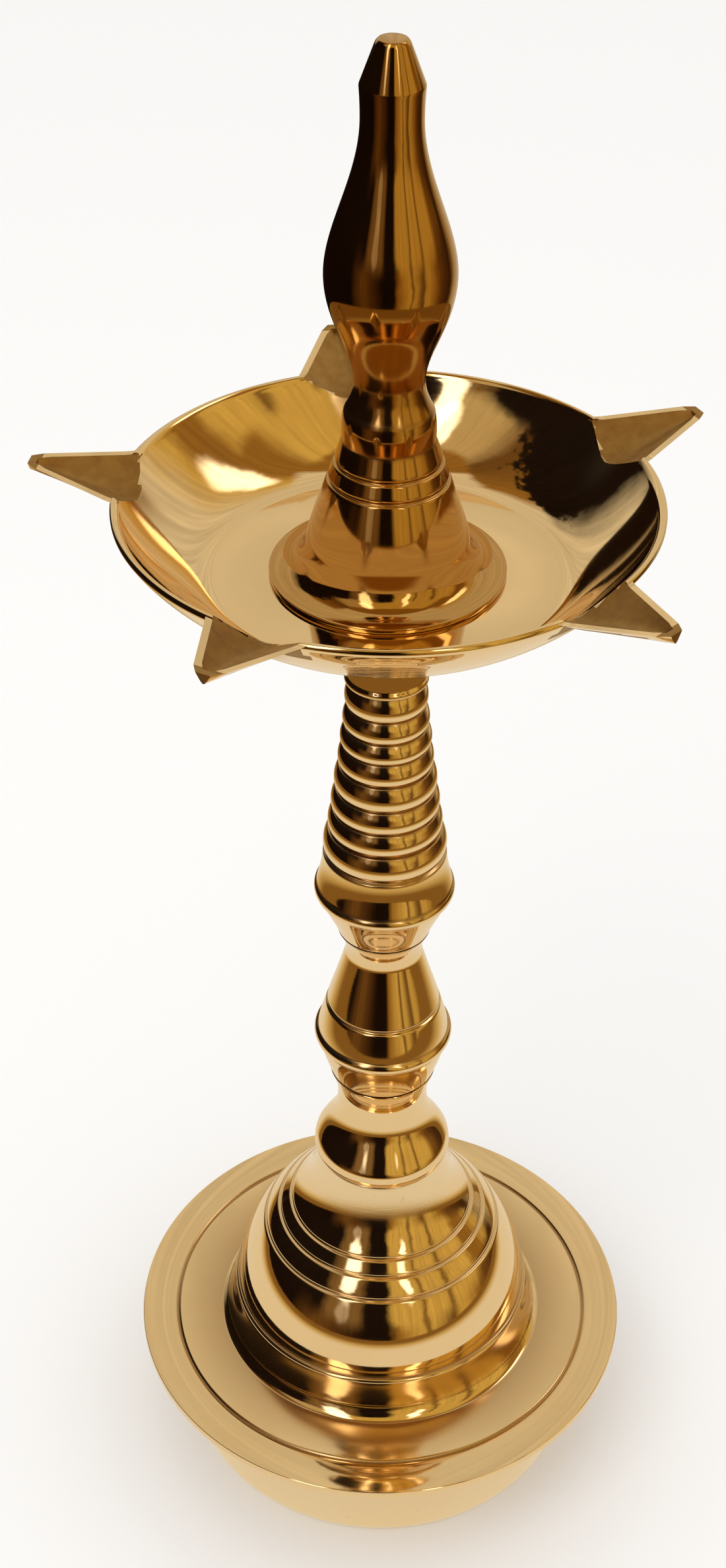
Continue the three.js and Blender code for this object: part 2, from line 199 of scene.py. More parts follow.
def eased(points, radius=FILLET_MM, steps=3):
    """The outline with each sharp corner rounded, as polishing leaves it."""
    result = [points[0]]
    for before, corner, after in zip(points, points[1:], points[2:]):
        u = Vector((before[0] - corner[0], before[1] - corner[1]))
        v = Vector((after[0] - corner[0], after[1] - corner[1]))
        if u.length < 1e-6 or v.length < 1e-6 or u.angle(-v) < BLUNT_ANGLE:
            result.append(corner)
            continue
        reach = min(radius, 0.45 * u.length, 0.45 * v.length)
        start = Vector(corner) + u.normalized() * reach
        end = Vector(corner) + v.normalized() * reach
        for i in range(steps + 1):
            t = i / steps
            point = start * (1 - t) ** 2 + Vector(corner) * 2 * t * (1 - t) + end * t * t
            result.append(tuple(point))
    result.append(points[-1])
    return result


def fitted(outline, node):
    """The outline in metres, scaled to the node's box in the frame."""
    low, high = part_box(node)
    width = max(r for r, _ in outline)
    bottom = min(z for _, z in outline)
    top = max(z for _, z in outline)
    across = (high.x - AXIS.x) / width
    up = (high.z - low.z) / (top - bottom)
    return [(r * across, low.z + (z - bottom) * up) for r, z in outline]


# ------------------------------------------------------------------ meshes

def new_object(name, mesh):
    """An object that stands on the lamp's axis, so its mesh is drawn about its own origin."""
    piece = bpy.data.objects.new(name, mesh)
    piece.location = AXIS
    scene.collection.objects.link(piece)
    return piece


def finish_shading(mesh):
    mesh.shade_smooth()
    mesh.set_sharp_from_angle(angle=SHARP_ANGLE)


def shaped(name, work):
    """An object from the finished bmesh."""
    mesh = bpy.data.meshes.new(name)
    work.to_mesh(mesh)
    work.free()
    return new_object(name, mesh)


def around(radius, turn, z):
    """A point at a radius and a height, at a share of a turn round the axis."""
    return radius * math.cos(TAU * turn), radius * math.sin(TAU * turn), z


def turned(name, outline, sides=TURNED_SIDES):
    """A piece spun about Z. The outline runs anticlockwise and closes on itself, or starts and
    ends on the axis."""
    on_axis = [r < 1e-9 for r, _ in outline]
    closed = not on_axis[0]
    work = bmesh.new()
    rings = []
    for (r, z), pole in zip(outline, on_axis):
        if pole:
            rings.append([work.verts.new((0, 0, z))])
        else:
            rings.append([work.verts.new(around(r, i / sides, z)) for i in range(sides)])
    pairs = list(zip(rings, rings[1:]))
    if closed:
        pairs.append((rings[-1], rings[0]))
    for lower, upper in pairs:
        if len(lower) == 1 and len(upper) == 1:
            continue
        for i in range(sides):
            j = (i + 1) % sides
            if len(lower) == 1:
                work.faces.new((lower[0], upper[j], upper[i]))
            elif len(upper) == 1:
                work.faces.new((lower[i], lower[j], upper[0]))
            else:
                work.faces.new((lower[i], lower[j], upper[j], upper[i]))
    piece = shaped(name, work)
    finish_shading(piece.data)
    return piece


def thread(name, node, pitch):
    """A stud with a right-handed V thread cut along it and chamfered ends."""
    low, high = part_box(node)
    radius = high.x - AXIS.x
    length = high.z - low.z
    depth = THREAD_DEPTH * pitch * MM
    chamfer = THREAD_CHAMFER * MM
    rows = int(length / (pitch * MM) * ROWS_PER_TURN)
    work = bmesh.new()
    rings = []
    for k in range(rows + 1):
        z = length * k / rows
        near_end = min(z, length - z)
        cap = radius - max(0.0, chamfer - near_end)
        ring = []
        for i in range(THREAD_SIDES):
            turn = i / THREAD_SIDES
            phase = (z / (pitch * MM) - turn) % 1
            wave = abs(2 * phase - 1)
            r = min(cap, radius - depth * (1 - min(1, max(0, 1.3 * wave - 0.12))))
            ring.append(work.verts.new(around(r, turn, low.z + z)))
        rings.append(ring)
    for lower, upper in zip(rings, rings[1:]):
        for i in range(THREAD_SIDES):
            j = (i + 1) % THREAD_SIDES
            work.faces.new((lower[i], lower[j], upper[j], upper[i]))
    work.faces.new(list(reversed(rings[0])))
    work.faces.new(rings[-1])
    piece = shaped(name, work)
    finish_shading(piece.data)
    return piece


def weight(piece, name, rule, by_face=False):
    """A number on every vertex or face, from rule(x, y, z) with the place in millimetres."""
    attribute = piece.data.attributes.new(name, "FLOAT", "FACE" if by_face else "POINT")
    if by_face:
        places = [face.center for face in piece.data.polygons]
    else:
        places = [vertex.co for vertex in piece.data.vertices]
    values = [min(1.0, max(0.0, rule(*(place / MM)))) for place in places]
    attribute.data.foreach_set("value", values)


def hump(value, centre, half):
    """1 at the centre, falling off smoothly on both sides."""
    return math.exp(-((value - centre) / half) ** 2)


def ramp(value, low, high):
    """0 below low and 1 above high, with a smooth rise between."""
    t = min(1.0, max(0.0, (value - low) / (high - low)))
    return t * t * (3 - 2 * t)


# ------------------------------------------------------------------ materials

class Nodes:
    """Short calls for making a node tree."""

    def __init__(self, tree):
        self.tree = tree

    def add(self, kind, inputs=(), **settings):
        node = self.tree.nodes.new(kind)
        for key, value in settings.items():
            setattr(node, key, value)
        for key, value in dict(inputs).items():
            if isinstance(value, bpy.types.NodeSocket):
                self.tree.links.new(value, node.inputs[key])
            else:
                node.inputs[key].default_value = value
        return node

    def math(self, operation, a, b=0.0, c=0.0):
        node = self.add("ShaderNodeMath", {0: a, 1: b, 2: c}, operation=operation)
        return node.outputs[0]

    def mix(self, factor, a, b):
        node = self.add("ShaderNodeMix", {0: factor, 6: a, 7: b}, data_type="RGBA")
        return node.outputs[2]

    def attribute(self, name):
        return self.add("ShaderNodeAttribute", attribute_name=name).outputs["Fac"]

    def noise(self, vector, scale, detail=3.0, rough=0.55):
        node = self.add("ShaderNodeTexNoise", {"Vector": vector, "Scale": scale, "Detail": detail,
                                               "Roughness": rough})
        return node.outputs["Fac"]

    def remap(self, value, low, high, to_low, to_high):
        node = self.add("ShaderNodeMapRange", {0: value, 1: low, 2: high, 3: to_low, 4: to_high})
        return node.outputs[0]

    def smooth(self, value, low, high):
        node = self.add("ShaderNodeMapRange", {0: value, 1: low, 2: high, 3: 0.0, 4: 1.0},
                        interpolation_type="SMOOTHSTEP")
        return node.outputs[0]

    def ramp(self, value, stops):
        """A ramp over bearings in degrees, -180 to 180, given as (bearing, colour)."""
        node = self.add("ShaderNodeValToRGB", {0: value})
        elements = node.color_ramp.elements
        while len(elements) < len(stops):
            elements.new(0.5)
        for element, (bearing, colour) in zip(elements, stops):
            element.position = bearing / 360 + 0.5
            element.color = rgba(colour)
        return node.outputs[0]


class Material(Nodes):
    """A node tree around one Principled shader."""

    def __init__(self, name):
        self.material = bpy.data.materials.new(name)
        self.material.use_nodes = True
        super().__init__(self.material.node_tree)
        self.shader = self.tree.nodes["Principled BSDF"]

    def link(self, socket, target):
        self.tree.links.new(socket, self.shader.inputs[target])


def rgba(colour):
    return (*colour, 1.0)


def turning_vector(nodes, drift_scale):
    """Coordinates that depend only on the distance from the axis and the height, with a little
    drift round the axis, so that a noise reads as lathe marks."""
    place = nodes.add("ShaderNodeTexCoord").outputs["Object"]
    parts = nodes.add("ShaderNodeSeparateXYZ", {0: place}).outputs
    squared = nodes.math("ADD", nodes.math("MULTIPLY", parts[0], parts[0]),
                         nodes.math("MULTIPLY", parts[1], parts[1]))
    radius = nodes.math("SQRT", squared)
    drift = nodes.math("MULTIPLY", nodes.math("ARCTAN2", parts[1], parts[0]), drift_scale)
    joined = nodes.add("ShaderNodeCombineXYZ", {0: radius, 1: drift, 2: parts[2]})
    return joined.outputs[0], place


def brass(name, colour, polish=0.045, marks=0.018):
    """Polished brass. The vertex weights say where it is satin, left as cast, or darkened by
    painted shade.
    """
    n = Material(name)
    rings, place = turning_vector(n, 0.0006)
    satin_weight = n.attribute("satin")
    cast_weight = n.attribute("cast")
    # painted shade: creases, engraved lines, joints and undercuts are tinted darker and made
    # rougher
    painted_shade_weight = n.attribute("painted_shade")

    patches = n.noise(place, 55.0, 4.0, 0.6)
    blotches = n.noise(place, 420.0, 3.0, 0.65)
    fine_rings = n.noise(rings, 5200.0, 2.0, 0.6)
    broad_rings = n.noise(rings, 900.0, 2.0, 0.5)

    warmer = tuple(part * warmth for part, warmth in zip(colour, WARMTH))
    tint = n.mix(n.remap(patches, 0.35, 0.7, 0.0, 0.35), rgba(colour), rgba(warmer))
    specks = n.remap(blotches, 0.66, 0.74, 0.0, 0.35)
    tint = n.mix(satin_weight, tint, rgba(SATIN_BRASS))
    tint = n.mix(n.math("MULTIPLY", specks, satin_weight), tint, rgba(TARNISH_AND_SHADE))
    # painted shade, drawn in the dark tarnish colour
    tint = n.mix(n.math("MULTIPLY", painted_shade_weight, 0.8), tint, rgba(TARNISH_AND_SHADE))
    cast_colour = n.mix(n.remap(blotches, 0.35, 0.7, 0.0, 0.65), rgba(CAST_BRASS), rgba(TARNISH_AND_SHADE))
    tint = n.mix(cast_weight, tint, cast_colour)
    n.link(tint, "Base Color")

    rough = n.remap(patches, 0.3, 0.75, polish * 0.75, polish * 1.5)
    rough = n.math("ADD", rough, n.remap(fine_rings, 0.45, 0.75, 0.0, marks))
    rough = n.math("ADD", rough, n.math("MULTIPLY", satin_weight, 0.3))
    rough = n.math("ADD", rough, n.math("MULTIPLY", painted_shade_weight, 0.25))
    rough = n.math("ADD", rough, n.math("MULTIPLY", cast_weight, 0.42))
    n.link(rough, "Roughness")

    grain = n.math("MULTIPLY", n.noise(place, 2600.0, 3.0, 0.7), n.math("ADD", cast_weight, 0.02))
    turning = n.math("MULTIPLY", fine_rings, n.math("MULTIPLY_ADD", satin_weight, 0.5, 0.02))
    height = n.math("ADD", n.math("ADD", turning, n.math("MULTIPLY", broad_rings, 0.05)), grain)
    bump = n.add("ShaderNodeBump", {"Height": height, "Strength": 0.22, "Distance": 0.00012})
    n.link(bump.outputs[0], "Normal")

    tangent = n.add("ShaderNodeTangent", direction_type="RADIAL", axis="Z")
    n.link(tangent.outputs[0], "Tangent")
    n.shader.inputs["Metallic"].default_value = 1.0
    n.shader.inputs["Anisotropic"].default_value = 0.2
    n.shader.inputs["Specular IOR Level"].default_value = 0.5
    return n.material


def fibre():
    """Pressed fibre with short strands."""
    n = Material("pressed_fibre")
    place = n.add("ShaderNodeTexCoord").outputs["Object"]
    strands = n.noise(place, 3000.0, 4.0, 0.7)
    n.link(n.mix(strands, rgba(FIBRE), rgba(FIBRE_STRANDS)), "Base Color")
    n.link(n.remap(strands, 0.3, 0.7, 0.75, 0.95), "Roughness")
    bump = n.add("ShaderNodeBump", {"Height": strands, "Strength": 0.5, "Distance": 0.0001})
    n.link(bump.outputs[0], "Normal")
    return n.material


# ------------------------------------------------------------------ pieces

def stand_in(piece, node, body, material):
    """The detailed piece takes the CAD node's place on the node's own body."""
    for name in ("satin", "cast", "painted_shade"):
        if name not in piece.data.attributes:
            weight(piece, name, lambda x, y, z: 0.0)
    piece.data.materials.append(material)
    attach(piece, body)
    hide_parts(node)
    return piece


BELL_LINES = (44.5, 47.6, 49.8)


def base_outline():
    plate = PLATE_HEIGHT
    dome = bezier((25.4, 30.5), (25.3, 34.9), (23.4, 40.2), (20.0, 45.0), 36)
    dome += bezier((20.0, 45.0), (16.6, 49.8), (12.3, 51.0), (10.8, 62.0), 40, skip_first=True)
    bell = engraved(dome, BELL_LINES)
    cove = bezier((28.6, plate), (26.9, plate + 0.7), (26.1, plate + 3.0), (26.05, plate + 7.2), 18)
    lip = bezier((26.05, plate + 7.2), (26.05, plate + 7.7), (25.7, plate + 8.0), (25.4, 30.5), 8,
                 skip_first=True)
    hollow = bezier((8.4, 54.0), (12.5, 44.4), (22.1, 36.2), (22.1, 30.7), 16)
    foot = bezier((32.2, 0), (33.7, 0), (34.6, 0.9), (34.6, 2.4), 8)
    points = [(29.6, 0)] + foot
    points += [(36.4, plate - 1.4), (43, plate - 1.4), (43, plate)]
    points += [(PLATE_LINE_RADIUS + LINE_HALF, plate), (PLATE_LINE_RADIUS, plate - LINE_DEPTH),
               (PLATE_LINE_RADIUS - LINE_HALF, plate)]
    points += cove + lip + bell[1:]
    points += [(6.6, 62), (6.6, 68), (STEM_BORE, 68), (STEM_BORE, 54)]
    points += hollow + [(26.4, 20.3), (33.8, 20.3), (33.8, 19.3), (32.0, 4.4)]
    return eased(points)


def base_piece(material):
    piece = turned("base_casting", fitted(base_outline(), "base"), 192)
    weight(piece, "satin", lambda x, y, z: base_satin(math.hypot(x, y), z))
    # painted shade in the engraved lines, the corner at the plate and under the ledge
    weight(piece, "painted_shade", lambda x, y, z: base_painted_shade(math.hypot(x, y), z))
    weight(piece, "cast", lambda x, y, z: base_cast(math.hypot(x, y), z))
    return stand_in(piece, "base", "stand", material)


def base_satin(r, z):
    plate_top = ramp(r, 27.5, 29.5) * ramp(z, 20.8, 22.0)
    foot = ramp(r, 31, 34) * (1 - ramp(z, 20.8, 21.5))
    shoulder = ramp(z, 54, 57) * (1 - ramp(z, 63, 66))
    return max(0.03 * plate_top, 0.4 * foot, 0.45 * shoulder)


# painted shade: darker in the engraved lines, where the cove meets the plate, and under the ledge
def base_painted_shade(r, z):
    lines = hump(r, PLATE_LINE_RADIUS, 0.35) * ramp(z, 20, 22)
    for height in BELL_LINES:
        lines = max(lines, 0.3 * hump(z, height, 0.5))
    corner = hump(r, 29.0, 0.5) * hump(z, 22.6, 0.7)
    ledge = 0.7 * hump(z, 30.6, 0.35) * hump(r, 25.4, 1)
    return max(lines, 0.8 * corner, ledge)


def base_cast(r, z):
    inside_foot = (1 - ramp(r, 32.2, 32.6)) * (1 - ramp(z, 19.5, 20.2)) * ramp(z, 0.4, 1.2)
    under_plate = hump(z, 20.3, 0.15) * (1 - ramp(r, 33.6, 34.0))
    bell_wall = 24.4 - max(0.0, (z - 34.0)) * 0.52
    under_wall = 1 - ramp(r, bell_wall - 1.8, bell_wall - 1.2)
    inside_bell = under_wall * ramp(z, 20, 21) * (1 - ramp(z, 53.5, 54.2))
    return max(inside_foot, under_plate, inside_bell)


def collar_piece(material):
    wall = bezier((11.15, 2.9), (9.3, 6.4), (7.4, 7.8), (7.4, 12.8), 18)
    crown = bezier((10.8, 0), (11.35, 0.35), (11.6, 1.4), (11.15, 2.9), 10, skip_first=True)
    neck = bezier((7.4, 12.8), (7.4, 14.8), (7.75, 16.2), (8.7, 18.8), 10, skip_first=True)
    points = [(6.75, 0), (10.8, 0)] + crown + wall[1:] + neck
    points += [(STEM_BORE, 18.8), (STEM_BORE, 6.2), (6.75, 6.2)]
    piece = turned("collar_cup", fitted(eased(points), "collar"))
    low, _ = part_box("collar")
    foot = low.z / MM
    # painted shade under the collar's rim, where it sits on the base
    weight(piece, "painted_shade", lambda x, y, z: 0.8 * (1 - ramp(z, foot, foot + 0.7)))
    return stand_in(piece, "collar", "stand", material)


KNOP_LINE = 14.6


def knop_piece(material):
    flare = bezier((8.7, 0), (9.3, 1.7), (10.2, 4.6), (10.75, 7.0), 14)
    ring = bezier((10.75, 7.0), (11.55, 7.3), (11.55, 8.6), (10.85, 9.1), 10, skip_first=True)
    body = bezier((10.75, 9.2), (10.15, 12.1), (7.8, 19.2), (6.2, 25.2), 44)
    neck = bezier((6.2, 25.2), (6.05, 26.8), (6.4, 28.2), (7.5, 30.2), 10, skip_first=True)
    points = [(0, 12.2), (STEM_BORE, 12.2), (STEM_BORE, 0)] + flare + ring
    points += engraved(body, (KNOP_LINE,)) + neck
    points += [(STEM_BORE, 30.2), (STEM_BORE, 18), (0, 18)]
    piece = turned("knop_module", fitted(eased(points, 0.16), "knop"))
    low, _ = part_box("knop")
    foot = low.z / MM
    # painted shade in the ring's creases, the engraved line and at both joints
    weight(piece, "painted_shade", lambda x, y, z: max(
        0.5 * hump(z - foot, 9.15, 0.3), 0.4 * hump(z - foot, 6.95, 0.3),
        0.35 * hump(z - foot, KNOP_LINE, 0.45),
        0.7 * hump(z - foot, 0, 0.3), 0.7 * hump(z - foot, 30.2, 0.3)))
    return stand_in(piece, "knop", "knop", material)


# height and radius of each bead
BEADS = ((17.6, 9.7), (22.2, 8.95), (25.4, 8.45), (30.0, 7.95),
         (34.1, 7.35), (37.7, 7.0), (41.0, 6.6), (45.2, 6.3))
BEAD_PROUD = 0.62
BEAD_TAPER = 0.14
BEAD_CREASES = [(a[0] + b[0]) / 2 for a, b in zip(BEADS, BEADS[1:])]


def bead_stack(first, last):
    """Scalloped beads between the heights first and last, with a sharp crease between each two."""
    creases = [first] + BEAD_CREASES + [last]
    points = []
    for (_, radius), low, high in zip(BEADS, creases, creases[1:]):
        for i in range(13):
            t = -1 + 2 * i / 12
            z = (low + high) / 2 + t * (high - low) / 2
            crown = 1 - abs(t + 0.18 * (1 - t * t)) ** 2.3
            points.append((radius - BEAD_PROUD * (1 - crown) - BEAD_TAPER * t * 0.5, z))
    return points


def column_outline(height):
    """The outline, and the heights of its creases."""
    seat = height - 1.6
    cone = bezier((7.5, 0), (8.3, 2.4), (9.7, 4.9), (10.6, 7.1), 16)
    ring = bezier((10.6, 7.1), (11.3, 7.3), (11.35, 8.6), (10.85, 9.0), 10, skip_first=True)
    band = bezier((10.75, 9.25), (10.3, 11.2), (9.85, 12.6), (9.75, 15.2), 16)
    beads = bead_stack(15.55, 47.4)
    cup = bezier((6.0, seat - 4.4), (6.0, seat - 1.6), (7.6, seat), (10, seat), 12)
    points = [(0, 12.2), (STEM_BORE, 12.2), (STEM_BORE, 0)] + cone + ring + band + beads
    points += [(6.35, 47.7), (6.35, 48.3), (6.0, 48.7)] + cup
    points += [(10, height), (FINIAL_BORE, height)]
    points += [(FINIAL_BORE, height - 12.2), (0, height - 12.2)]
    return eased(points, 0.14), [47.4, 15.4, 9.1] + BEAD_CREASES


def column_piece(material):
    low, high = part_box("column")
    outline, creases = column_outline((high.z - low.z) / MM)
    piece = turned("column_module", fitted(outline, "column"))
    foot = low.z / MM
    # painted shade in the creases between the beads and rings
    weight(piece, "painted_shade", lambda x, y, z: max(0.75 * hump(z - foot, c, 0.28) for c in creases))
    return stand_in(piece, "column", "column", material)


SKIRT_LINES = (15.6, 18.3)


def finial_outline():
    flare = bezier((17.1, 0.8), (14.2, 0.9), (12.4, 2.2), (11.75, 5.5), 24)
    skirt = bezier((11.75, 5.5), (11.2, 8.6), (8.6, 15.5), (6.6, 21.7), 60)
    ring = bezier((6.6, 21.7), (6.72, 23.4), (6.62, 25.0), (6.3, 26.0), 10)
    under = bezier((6.3, 26.0), (5.6, 27.4), (4.95, 28.6), (4.95, 30.5), 12, skip_first=True)
    lower = bezier((4.95, 30.5), (4.95, 35.0), (9.0, 39.5), (9.0, 46.0), 40, skip_first=True)
    upper = bezier((9.0, 46.0), (9.0, 52.5), (4.17, 59.5), (4.17, 67.5), 48, skip_first=True)
    throat = bezier((4.17, 67.5), (4.17, 69.2), (4.25, 70.6), (4.35, 71.8), 8, skip_first=True)
    points = [(0, 12.2), (FINIAL_BORE, 12.2), (FINIAL_BORE, 0), (17.1, 0)]
    points += flare + engraved(skirt, SKIRT_LINES)[1:] + ring[1:] + under + lower + upper + throat
    points += [(2.3, 77.3), (1.9, 77.8), (0, 77.8)]
    return eased(points)


def finial_piece(material):
    piece = turned("finial_ornament", fitted(finial_outline(), "finial"))
    low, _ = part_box("finial")
    foot = low.z / MM
    # painted shade in the creases and engraved lines, and broadly under the lower bulb
    weight(piece, "painted_shade", lambda x, y, z: max(
        0.7 * hump(z - foot, 21.7, 0.35), 0.6 * hump(z - foot, 26.2, 0.5),
        0.35 * hump(z - foot, 31.5, 6.0),
        max(0.4 * hump(z - foot, line, 0.35) for line in SKIRT_LINES)))
    return stand_in(piece, "finial", "finial", material)


def washer_piece(material):
    outline = eased([(3.4, 0), (9, 0), (9, 0.6), (3.4, 0.6)], 0.12)
    piece = turned("dish_seal", fitted(outline, "dish_washer"), 96)
    return stand_in(piece, "dish_washer", "dish_seal", material)


# ------------------------------------------------------------------ dish

DISH_RIM = 39.2
DISH_DEPTH = 13.9
DISH_FLOOR = 1.86
DISH_HOLE = 3.4
SPOUTS = 5
SPOUT_BEARING = math.radians(171.7)
SPOUT_ROOT = 33.2  # where a spout starts, inside the dish's wall
SPOUT_REACH = 52.0
SPOUT_WALL = 1.1
DISH_SIDES = 240


def spout_size(distance, inset):
    """Half width, depth and top height of a spout at a distance from the axis."""
    s = (distance - DISH_RIM) / (SPOUT_REACH - DISH_RIM)
    half = 7.2 - 5.6 * s - inset
    depth = 4.0 - 2.3 * s - inset
    top = DISH_DEPTH - 0.25 + 1.55 * max(0.0, s)
    return half, depth, top


def spout_mesh(name, inset, rise, bearing, low):
    """A V-sided spout, or the trough inside it, as a closed mesh."""
    across = [math.sin(math.pi / 2 * k / 10) for k in range(-10, 11)]
    length = SPOUT_REACH - inset - SPOUT_ROOT
    stations = [SPOUT_ROOT + length * k / 24 for k in range(25)]
    work = bmesh.new()
    rows = []
    for distance in stations:
        half, depth, top = spout_size(distance, inset)
        blunt = ramp(distance, SPOUT_REACH - 1.4 - inset, SPOUT_REACH - inset)
        half *= 1 - 0.3 * blunt
        row = [(half * a, top - depth * (1 - (abs(a) ** 2 + 0.02) ** 0.62)) for a in across]
        row += [(half, top + rise), (-half, top + rise)] if rise else []
        turn = Matrix.Rotation(bearing, 3, "Z")
        places = [Vector((distance * MM, y * MM, low + z * MM)) for y, z in row]
        rows.append([work.verts.new(turn @ place) for place in places])
    count = len(rows[0])
    for near, far in zip(rows, rows[1:]):
        for i in range(count):
            j = (i + 1) % count
            work.faces.new((near[i], near[j], far[j], far[i]))
    work.faces.new(list(reversed(rows[0])))
    work.faces.new(rows[-1])
    bmesh.ops.recalc_face_normals(work, faces=work.faces)
    return shaped(name, work)


def boolean(target, tool, operation):
    """Joins the tool to the target or cuts it out, and deletes the tool."""
    modifier = target.modifiers.new(operation, "BOOLEAN")
    modifier.object = tool
    modifier.operation = operation
    modifier.solver = "EXACT"
    graph = bpy.context.evaluated_depsgraph_get()
    mesh = bpy.data.meshes.new_from_object(target.evaluated_get(graph))
    target.modifiers.clear()
    target.data = mesh
    bpy.data.objects.remove(tool)


def dish_wall():
    """The inside of the dish's wall, from its flat floor to just under its rim."""
    return bezier((25.2, DISH_FLOOR), (28.1, 2.1), (34.6, 8.2), (37.8, 13.1), 50)


def dish_inner(height):
    """The dish's inside radius at a height over its underside, in millimetres."""
    inside = dish_wall()
    for (r0, z0), (r1, z1) in zip(inside, inside[1:]):
        if height <= z1:
            return r0 + (r1 - r0) * max(0.0, height - z0) / (z1 - z0)
    return inside[-1][0]


def dish_piece(material):
    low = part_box("dish")[0].z

    def scaled(points):
        return [(r * MM, low + z * MM) for r, z in points]

    outside = [(0, 0)] + bezier((24.5, 0), (29.5, 2.6), (36.2, 8.06), (DISH_RIM, 13.1), 36)
    outside += bezier((DISH_RIM, 13.1), (39.3, 13.6), (39.0, DISH_DEPTH), (38.75, DISH_DEPTH), 5,
                      skip_first=True)
    outside += [(0, DISH_DEPTH)]
    inside = [(0, DISH_FLOOR), (12, DISH_FLOOR)] + dish_wall()
    inside += bezier((37.8, 13.1), (38.0, 13.5), (38.3, 13.8), (38.75, 14.0), 6, skip_first=True)
    inside += [(38.75, 19), (0, 19)]
    piece = turned("oil_dish", scaled(outside), DISH_SIDES)
    cavity = turned("cavity", scaled(inside), DISH_SIDES)
    hole = turned("hole", scaled([(0, -4), (DISH_HOLE, -4), (DISH_HOLE, 6), (0, 6)]), 96)
    bearings = [SPOUT_BEARING + TAU * k / SPOUTS for k in range(SPOUTS)]
    for bearing in bearings:
        boolean(piece, spout_mesh("spout", 0, 0, bearing, low), "UNION")
    boolean(piece, cavity, "DIFFERENCE")
    for bearing in bearings:
        boolean(piece, spout_mesh("trough", SPOUT_WALL, 4, bearing, low), "DIFFERENCE")
    boolean(piece, hole, "DIFFERENCE")
    finish_shading(piece.data)
    weight(piece, "cast", lambda x, y, z: dish_cast(x, y, z - low / MM, bearings), by_face=True)
    # painted shade deep in each trough, near the spout's root
    weight(piece, "painted_shade", lambda x, y, z: dish_painted_shade(x, y, z - low / MM, bearings))
    weight(piece, "satin", lambda x, y, z: 0.25 * (1 - ramp(z - low / MM, 0.2, 1.0)))
    return stand_in(piece, "dish", "dish", material)


def spout_place(x, y, bearings):
    """Distance along and across the nearest spout."""
    angle = math.atan2(y, x)
    bearing = min(bearings, key=lambda b: abs(math.remainder(angle - b, TAU)))
    return (x * math.cos(bearing) + y * math.sin(bearing),
            -x * math.sin(bearing) + y * math.cos(bearing))


def dish_cast(x, y, z, bearings):
    """The troughs of the spouts are left as they were cast."""
    along, across = spout_place(x, y, bearings)
    half, depth, top = spout_size(along, SPOUT_WALL)
    inside_trough = abs(across) < half + 0.02 and top - depth - 0.05 < z < top + 0.4
    return 1.0 if inside_trough and math.hypot(x, y) > dish_inner(z) + 0.12 else 0.0


# painted shade: darker deep in each trough, just outside the dish's inner wall
def dish_painted_shade(x, y, z, bearings):
    along, across = spout_place(x, y, bearings)
    root = hump(along, 36.5, 3.0) * hump(across, 0, 2.2) * ramp(z, 2.0, 4.0)
    return 0.85 * root if along > dish_inner(z) - 0.3 else 0.0


# ------------------------------------------------------------------ stage

def softbox(name, bearing, rise, distance, width, height, power):
    """A rectangular light at a bearing round the lamp, measured from the camera's side."""
    aim = AXIS + Vector((0, 0, 0.12))
    place = aim + distance * Vector((math.sin(bearing) * math.cos(rise),
                                     -math.cos(bearing) * math.cos(rise), math.sin(rise)))
    data = bpy.data.lights.new(name, "AREA")
    data.shape = "RECTANGLE"
    data.size = width
    data.size_y = height
    data.energy = power
    data.color = KEY_COLOUR
    light = bpy.data.objects.new(name, data)
    scene.collection.objects.link(light)
    light.location = place
    light.rotation_euler = (aim - place).to_track_quat("-Z", "Y").to_euler()
    light.visible_glossy = False


def floor():
    bpy.ops.mesh.primitive_plane_add(size=6)
    piece = bpy.context.object
    piece.name = "floor"
    piece.location.z = -0.0002
    material = bpy.data.materials.new("pale_floor")
    material.use_nodes = True
    shader = material.node_tree.nodes["Principled BSDF"]
    shader.inputs["Base Color"].default_value = rgba(FLOOR_COLOUR)
    shader.inputs["Roughness"].default_value = 0.7
    piece.data.materials.append(material)
    piece.visible_glossy = False


def glow(n, bearing, rise, place):
    """A soft-edged bright place in the room: 1 at its middle and 0 past its edge."""
    at_bearing, at_rise, half_width, half_height, strength = place
    across = n.math("DIVIDE", n.math("SUBTRACT", bearing, at_bearing), half_width)
    up = n.math("DIVIDE", n.math("SUBTRACT", rise, at_rise), half_height)
    away = n.math("SQRT", n.math("ADD", n.math("POWER", across, 2.0), n.math("POWER", up, 2.0)))
    return n.math("MULTIPLY", n.smooth(away, 1.0, 0.55), strength)


